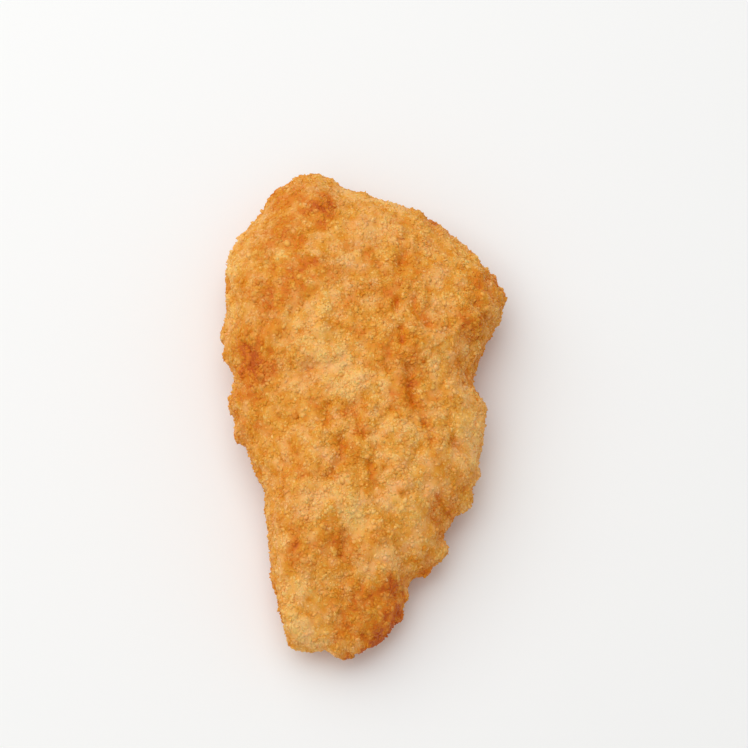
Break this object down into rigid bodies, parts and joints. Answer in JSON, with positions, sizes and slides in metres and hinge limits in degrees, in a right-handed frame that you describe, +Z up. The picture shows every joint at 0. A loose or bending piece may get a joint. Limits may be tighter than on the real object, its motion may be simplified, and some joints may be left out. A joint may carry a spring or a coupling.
{
  "type": "breaded chicken tender",
  "caption": "Single breaded chicken tender with a rough golden crumb crust, wide at one end and narrow at the other, lying flat.",
  "frame": {"origin": "middle of the tender's box in plan, on the surface it lies on", "axes": "+Y along the tender to its blunt end, +X across it, +Z up out of its shown side"},
  "size_m": [0.0558, 0.0984, 0.0207],
  "materials": {
    "crust": null
  },
  "bodies": {
    "root": {"tender": "crust"}
  },
  "joints": []
}
